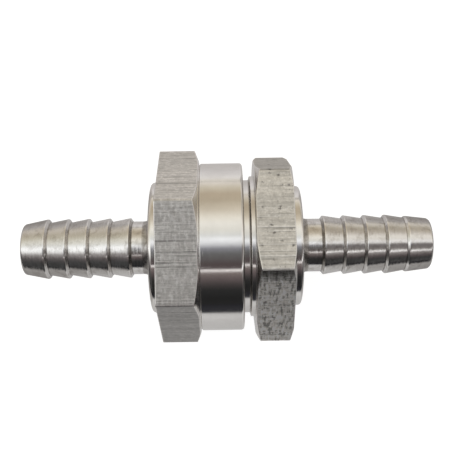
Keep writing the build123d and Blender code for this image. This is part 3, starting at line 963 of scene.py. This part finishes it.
COILS, CLOSED_COILS = 7.0, 0.9    # all of them, and those closed up at each end
WIRE_R, COIL_R = 0.25, 3.50
SPRING_X0, SPRING_X1 = -4.80, 4.30
CLOSED_RISE = 2 * WIRE_R * 1.04
OPEN_RISE = ((SPRING_X1 - SPRING_X0 - 2 * CLOSED_COILS * CLOSED_RISE)
             / (COILS - 2 * CLOSED_COILS))
RISE_BLEND = 0.35              # turns on either side of the change of rise


def spring_travel(turns):
    """Distance along X from the spring's nearer end."""
    closed = CLOSED_RISE * turns
    gain = OPEN_RISE - CLOSED_RISE
    if turns <= CLOSED_COILS - RISE_BLEND:
        return closed
    if turns <= CLOSED_COILS + RISE_BLEND:
        return closed + gain * (turns - CLOSED_COILS + RISE_BLEND) ** 2 / (4 * RISE_BLEND)
    return closed + gain * (turns - CLOSED_COILS)


def coil_x(turns):
    if turns <= COILS / 2:
        return SPRING_X0 + spring_travel(turns)
    return SPRING_X1 - spring_travel(COILS - turns)


def make_spring():
    total = int(COILS * 56)
    sides = 18
    turns = [COILS * i / total for i in range(total + 1)]
    angles = [2 * math.pi * COILS * i / total for i in range(total + 1)]
    line = np.array([
        (coil_x(t), COIL_R * math.cos(a), COIL_R * math.sin(a)) for t, a in zip(turns, angles)])
    tangents = np.gradient(line, axis=0)
    tangents /= np.linalg.norm(tangents, axis=1)[:, None]
    points = []
    for middle, tangent, a in zip(line, tangents, angles):
        side = np.cross(tangent, np.array((0.0, math.cos(a), math.sin(a))))
        side /= np.linalg.norm(side)
        out = np.cross(side, tangent)
        for t in even_angles(sides):
            p = middle + WIRE_R * (math.cos(t) * out + math.sin(t) * side)
            # Ends ground flat, just clear of the flange and the guide
            p[0] = min(max(p[0], FLANGE_X + 0.01), GUIDE_X0 - 0.01)
            points.append(tuple(p))
    faces = []
    for i in range(total):
        for k in range(sides):
            a, b = i * sides + k, i * sides + (k + 1) % sides
            faces.append((a, b, b + sides, a + sides))
    faces.append(tuple(range(sides)))
    faces.append(tuple(range((total + 1) * sides - 1, total * sides - 1, -1)))
    return closed_mesh("poppet_spring", points, faces, spring_steel)


# ------------------------------------------------------------------ studio
# Linear light levels round the X axis, as (degrees from the camera, positive towards +Y; level)
AROUND_BODY = [
    (-180, (0.60, 0.59, 0.59)), (-95, (0.03, 0.03, 0.03)), (-72, (0.02, 0.02, 0.02)),
    (-58, (0.03, 0.03, 0.03)), (-50, (0.07, 0.06, 0.06)), (-41, (0.15, 0.12, 0.12)),
    (-33, (0.24, 0.20, 0.19)), (-31.0, (1.05, 1.00, 0.98)), (-29.2, (1.05, 1.00, 0.98)),
    (-28.2, (0.11, 0.09, 0.09)), (-22, (0.09, 0.07, 0.07)), (-8, (0.15, 0.15, 0.15)),
    (-1, (0.27, 0.27, 0.30)), (6, (0.88, 0.89, 0.91)), (11, (1.12, 1.14, 1.16)),
    (16, (0.86, 0.87, 0.85)), (24, (0.90, 0.88, 0.80)), (32, (1.01, 0.98, 0.90)),
    (40, (0.98, 0.93, 0.81)), (52, (0.74, 0.66, 0.53)), (66, (0.56, 0.48, 0.36)),
    (77, (0.56, 0.47, 0.35)), (88, (0.71, 0.64, 0.51)), (98, (0.86, 0.80, 0.72)),
    (110, (0.85, 0.82, 0.81)), (130, (0.69, 0.66, 0.64)), (180, (0.60, 0.59, 0.59)),
]
AROUND_INLET_END = [
    (-180, (0.40, 0.40, 0.39)), (-100, (0.33, 0.33, 0.32)), (-88, (0.12, 0.12, 0.12)),
    (-74, (0.06, 0.06, 0.06)), (-60, (0.07, 0.07, 0.07)), (-46, (0.11, 0.10, 0.10)),
    (-34, (0.22, 0.20, 0.20)), (-22, (0.48, 0.46, 0.45)), (-14, (0.95, 0.95, 0.94)),
    (-5, (1.22, 1.23, 1.22)), (4, (1.24, 1.25, 1.24)), (13, (1.03, 1.04, 1.01)),
    (24, (0.87, 0.86, 0.79)), (34, (0.84, 0.82, 0.73)), (47, (0.66, 0.62, 0.51)),
    (64, (0.54, 0.49, 0.39)), (86, (0.67, 0.61, 0.53)), (110, (0.56, 0.53, 0.50)),
    (150, (0.66, 0.64, 0.63)), (180, (0.55, 0.54, 0.53)),
]
AROUND_OUTLET_END = [
    (-180, (0.39, 0.37, 0.37)), (-98, (0.30, 0.28, 0.28)), (-86, (0.14, 0.13, 0.13)),
    (-76, (0.07, 0.07, 0.07)), (-64, (0.05, 0.05, 0.05)), (-50, (0.12, 0.10, 0.10)),
    (-36, (0.32, 0.30, 0.29)), (-32.5, (0.36, 0.33, 0.32)), (-31, (1.30, 1.28, 1.27)),
    (-27, (1.30, 1.28, 1.27)), (-25, (0.42, 0.40, 0.38)), (-18, (0.24, 0.22, 0.21)),
    (-3, (0.20, 0.18, 0.18)), (3, (0.36, 0.34, 0.32)), (8, (0.88, 0.86, 0.84)),
    (17, (0.96, 0.93, 0.90)), (26, (0.87, 0.83, 0.76)), (35, (0.92, 0.88, 0.81)),
    (45, (0.74, 0.69, 0.63)), (55, (0.56, 0.51, 0.44)), (68, (0.46, 0.41, 0.34)),
    (80, (0.52, 0.48, 0.40)), (91, (0.72, 0.67, 0.60)), (104, (0.70, 0.66, 0.62)),
    (125, (0.58, 0.55, 0.53)), (180, (0.60, 0.59, 0.58)),
]
# The floor's glow in bands across Y, as (y in mm; level)
FLOOR_BANDS = [
    (-250, (0.03, 0.03, 0.035)), (-82, (0.035, 0.035, 0.04)), (-74, (0.18, 0.18, 0.18)),
    (-66, (0.64, 0.63, 0.62)), (-48, (0.68, 0.67, 0.66)), (-18, (0.55, 0.54, 0.53)),
    (0, (0.47, 0.46, 0.46)), (26, (0.60, 0.57, 0.55)), (50, (0.76, 0.73, 0.72)),
    (110, (0.88, 0.85, 0.82)), (250, (0.85, 0.80, 0.72)),
]
FLOOR_Z, FLOOR_HALF = -0.01307, 1.6    # metres


def build_world():
    """Bands of light round X, blending to others at each end. The camera itself sees white."""
    world = bpy.data.worlds.new("studio_air")
    bpy.context.scene.world = world
    g = Graph(world)
    x, y, z = g.separate(g.node("ShaderNodeTexCoord").outputs["Generated"])
    angle = g.math("ARCTAN2", y, z)
    turn = g.times_plus(angle, factor=1 / (2 * math.pi), extra=0.5 - CAMERA_LEAN / 360)
    turn = g.math("FRACT", turn)
    air = g.ramp(turn, AROUND_BODY)
    for stops, span in ((AROUND_INLET_END, (-0.15, -0.32)), (AROUND_OUTLET_END, (0.17, 0.34))):
        air = g.mix(g.remap(x, span=span, smooth=True), air, g.ramp(turn, stops))
    seen = g.mix(g.camera_ray(), air, (1.0, 1.0, 1.0))
    background = g.node("ShaderNodeBackground", {"Color": seen, "Strength": 1.0})
    g.node("ShaderNodeOutputWorld", {"Surface": background.outputs[0]})


def floor_material():
    """An even pale tone to the camera, a banded glow with diffuse shading to everything else."""
    mat = bpy.data.materials.new("pale_floor")
    g = Graph(mat)
    x, y, _ = g.separate(g.node("ShaderNodeNewGeometry").outputs["Position"])
    y_mm = g.times(y, 1000.0)
    x_mm = g.math("ABSOLUTE", g.times(x, 1000.0))
    bands = g.ramp(g.remap(y_mm, span=(-250.0, 250.0)), FLOOR_BANDS)
    outer = g.mix(1.0, bands, (0.58, 0.57, 0.56), blend="MULTIPLY")
    cloth = g.mix(g.remap(x_mm, span=(17.0, 34.0), smooth=True), bands, outer)
    ray = g.camera_ray()
    tone = g.mix(ray, cloth, (0.90, 0.90, 0.90))
    glow = g.node("ShaderNodeEmission", {"Color": tone, "Strength": 1.0}).outputs[0]
    diffuse = g.node("ShaderNodeBsdfDiffuse", {"Color": (0.36, 0.36, 0.36, 1.0)}).outputs[0]
    both = g.node("ShaderNodeAddShader", {0: glow, 1: diffuse}).outputs[0]
    # Factor 0 is every other ray, so the glow alone goes to input 1 and both to input 2
    shader = g.node("ShaderNodeMixShader", {0: ray, 1: glow, 2: both})
    g.node("ShaderNodeOutputMaterial", {"Surface": shader.outputs[0]})
    return mat


def build_floor():
    mesh = bpy.data.meshes.new("studio_floor")
    signs = ((-1, -1), (1, -1), (1, 1), (-1, 1))
    corners = [(sx * FLOOR_HALF, sy * FLOOR_HALF, FLOOR_Z) for sx, sy in signs]
    mesh.from_pydata(corners, [], [(0, 1, 2, 3)])
    floor = link_object("studio_floor", mesh)
    mesh.materials.append(floor_material())


def build_camera():
    data = bpy.data.cameras.new("photo_camera")
    data.sensor_width = 36.0
    data.sensor_fit = "HORIZONTAL"
    data.lens = 64.0
    data.clip_start = 0.002
    data.clip_end = 20.0
    camera = link_object("photo_camera", data)
    lean, roll = math.radians(CAMERA_LEAN), math.radians(0.9)
    shift_x, rise, distance = -0.00022, 0.00309, 0.11544    # metres
    back = Vector((0, math.sin(lean), math.cos(lean)))
    up = Vector((0, math.cos(lean), -math.sin(lean)))
    along = Vector((1, 0, 0))
    camera_x = along * math.cos(roll) - up * math.sin(roll)
    camera_y = up * math.cos(roll) + along * math.sin(roll)
    matrix = Matrix((camera_x, camera_y, back)).transposed().to_4x4()
    matrix.translation = Vector((shift_x, 0, 0)) + up * rise + back * distance
    camera.matrix_world = matrix
    bpy.context.scene.camera = camera


# ------------------------------------------------------------------ build
def register(ob, body, part, sharp_angle=32.0):
    """Smooth shading with sharp creases, then the piece's place in the frame."""
    mesh = ob.data
    mesh.polygons.foreach_set("use_smooth", np.ones(len(mesh.polygons), bool))
    mesh.set_sharp_from_angle(angle=math.radians(sharp_angle))
    modifier = ob.modifiers.new("face_weighted_normals", "WEIGHTED_NORMAL")
    modifier.mode = "FACE_AREA"
    modifier.weight = 50
    modifier.keep_sharp = True
    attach(ob, body)
    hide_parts(part)


inlet = make_inlet()
outlet = make_outlet()
body_ring = seal_ring(
    "body_seal_ring", x=-3.80, r=8.33, half_x=0.588, half_r=0.80, columns=160, flash=0.025)
poppet_ring = seal_ring(
    "poppet_seal_ring", x=SEAL_X, r=SEAL_R, half_x=0.598, half_r=0.598, columns=112)
poppet = make_poppet()
guide = make_guide()
clip = make_circlip()
spring = make_spring()

register(inlet, "inlet_half", "inlet_body")
register(outlet, "outlet_half", "outlet_body")
register(body_ring, "body_seal", "body_o_ring", sharp_angle=60)
register(poppet, "poppet_set", "poppet")
register(poppet_ring, "poppet_set", "poppet_o_ring", sharp_angle=60)
register(guide, "outlet_half", "poppet_guide")
register(clip, "outlet_half", "guide_retaining_ring")
register(spring, "outlet_half", "return_spring", sharp_angle=60)
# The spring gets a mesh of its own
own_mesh(spring)

build_world()
build_floor()
build_camera()
bpy.context.scene.view_settings.view_transform = "Standard"
bpy.context.scene.view_settings.look = "None"
